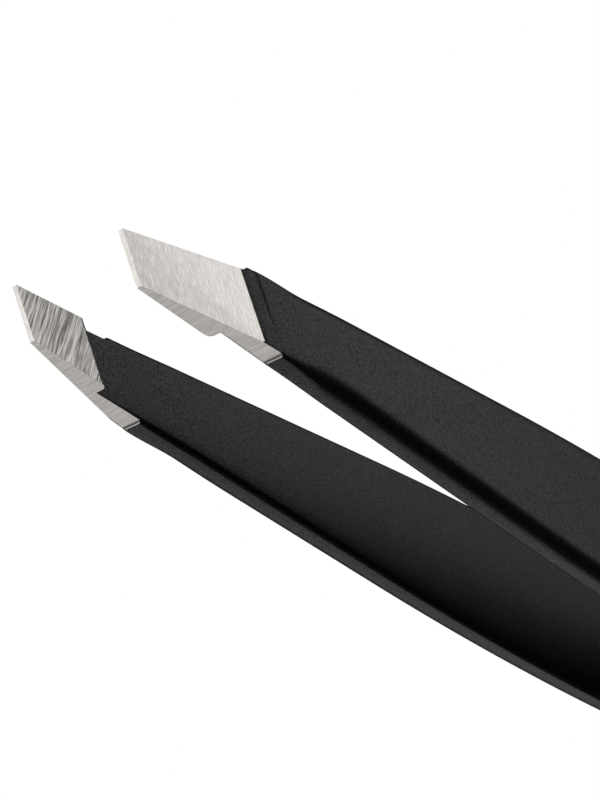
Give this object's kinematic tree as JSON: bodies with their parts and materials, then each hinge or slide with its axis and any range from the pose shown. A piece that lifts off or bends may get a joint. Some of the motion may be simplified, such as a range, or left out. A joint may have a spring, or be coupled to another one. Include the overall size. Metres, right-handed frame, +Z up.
{
  "type": "slant tweezers",
  "caption": "Slanted spring tweezers: two matte black coated steel blades welded at the tail, with bare ground bevelled tips and gripping pads.",
  "frame": {"origin": "on the resting plane, under the middle of the length, between the blades", "axes": "+X from the tail to the tips, +Z up across the width of the blades, and the blades close along Y; the right blade is on the -Y side"},
  "size_m": [0.095, 0.013, 0.011],
  "materials": {
    "bare_steel": "ground bare, with fine grinding lines",
    "black_coat": "matte black baked coat with a fine grain",
    "weld_steel": "melted and frozen, hidden inside the joint"
  },
  "bodies": {
    "root": {"right_root": "bare_steel", "left_root": "bare_steel", "root_coat": "black_coat", "weld_nuggets": "weld_steel"},
    "right_arm": {"right_blade": "bare_steel", "right_coat": "black_coat"},
    "left_arm": {"left_blade": "bare_steel", "left_coat": "black_coat"}
  },
  "joints": [
    {"name": "right_flex", "type": "hinge", "parent": "root", "child": "right_arm", "pos_m": [-0.02801, -0.00297, 0.0055], "axis": [0, 0, 1], "range_deg": [0, 2.86], "stiffness_Nm_per_rad": 1.9},
    {"name": "left_flex", "type": "hinge", "parent": "root", "child": "left_arm", "pos_m": [-0.02801, 0.00297, 0.0055], "axis": [0, 0, -1], "range_deg": [0, 2.86], "stiffness_Nm_per_rad": 1.9}
  ],
  "couplings": [
    {"joint": "left_flex", "follows": "right_flex", "ratio": 1}
  ]
}
